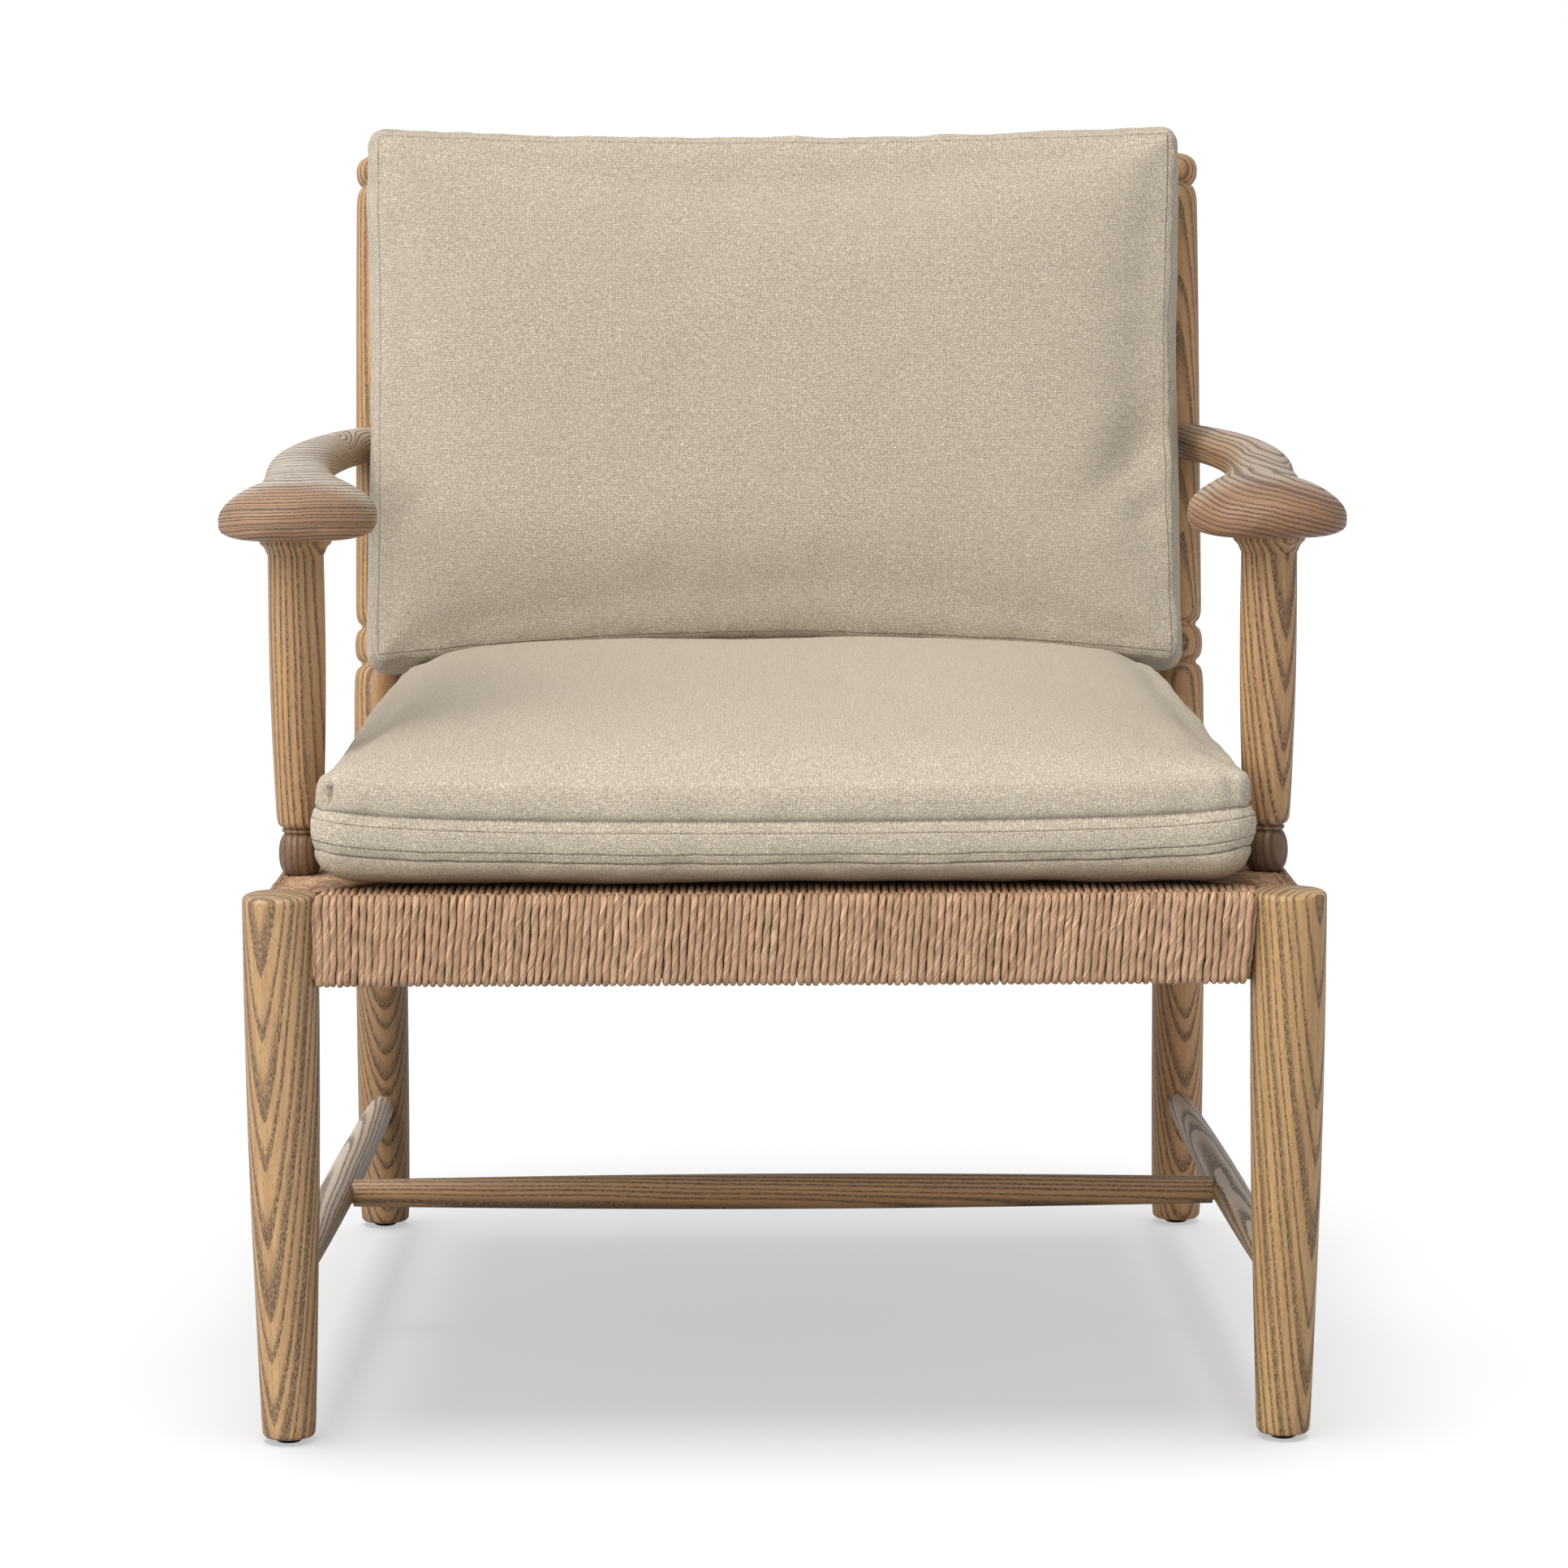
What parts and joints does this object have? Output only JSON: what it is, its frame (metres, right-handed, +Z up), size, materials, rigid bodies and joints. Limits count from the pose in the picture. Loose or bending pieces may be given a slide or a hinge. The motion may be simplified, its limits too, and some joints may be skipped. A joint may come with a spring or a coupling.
{
  "type": "armchair",
  "caption": "Wooden armchair with turned legs and posts, sculpted paddle arms, a woven cord seat, and loose boxed seat and back cushions.",
  "frame": {"origin": "on the floor, under the middle of the chair's box", "axes": "+Z up, the chair faces -Y, its left side is at -X as a viewer in front sees it"},
  "size_m": [0.7618, 0.7871, 0.8602],
  "materials": {
    "oak": "wire-brushed oak with a greyish-brown stain, satin",
    "paper_cord": "twisted tan paper cord, matt",
    "linen": "beige slubbed linen weave, matt",
    "glide": "black nylon, satin"
  },
  "bodies": {
    "frame": {"front_leg_left": "oak", "front_leg_right": "oak", "rear_post_left": "oak", "rear_post_right": "oak", "arm_post_left": "oak", "arm_post_right": "oak", "armrest_left": "oak", "armrest_right": "oak", "seat_rail_front": "oak", "seat_rail_rear": "oak", "seat_rail_left": "oak", "seat_rail_right": "oak", "side_stretcher_left": "oak", "side_stretcher_right": "oak", "cross_stretcher": "oak", "back_slat_lower": "oak", "back_slat_middle": "oak", "back_slat_upper": "oak", "cord_weave_front": "paper_cord", "cord_weave_rear": "paper_cord", "cord_weave_left": "paper_cord", "cord_weave_right": "paper_cord", "glide_front_left": "glide", "glide_front_right": "glide", "glide_rear_left": "glide", "glide_rear_right": "glide"},
    "seat_cushion": {"seat_cushion": "linen"},
    "back_cushion": {"back_cushion": "linen"}
  },
  "joints": [
    {"name": "seat_cushion_slide", "type": "slide", "parent": "frame", "child": "seat_cushion", "axis": [0, -1, 0], "range_m": [0, 0.65]},
    {"name": "back_cushion_lift", "type": "slide", "parent": "frame", "child": "back_cushion", "axis": [0, 0.2008, 0.9796], "range_m": [0, 0.45]}
  ]
}
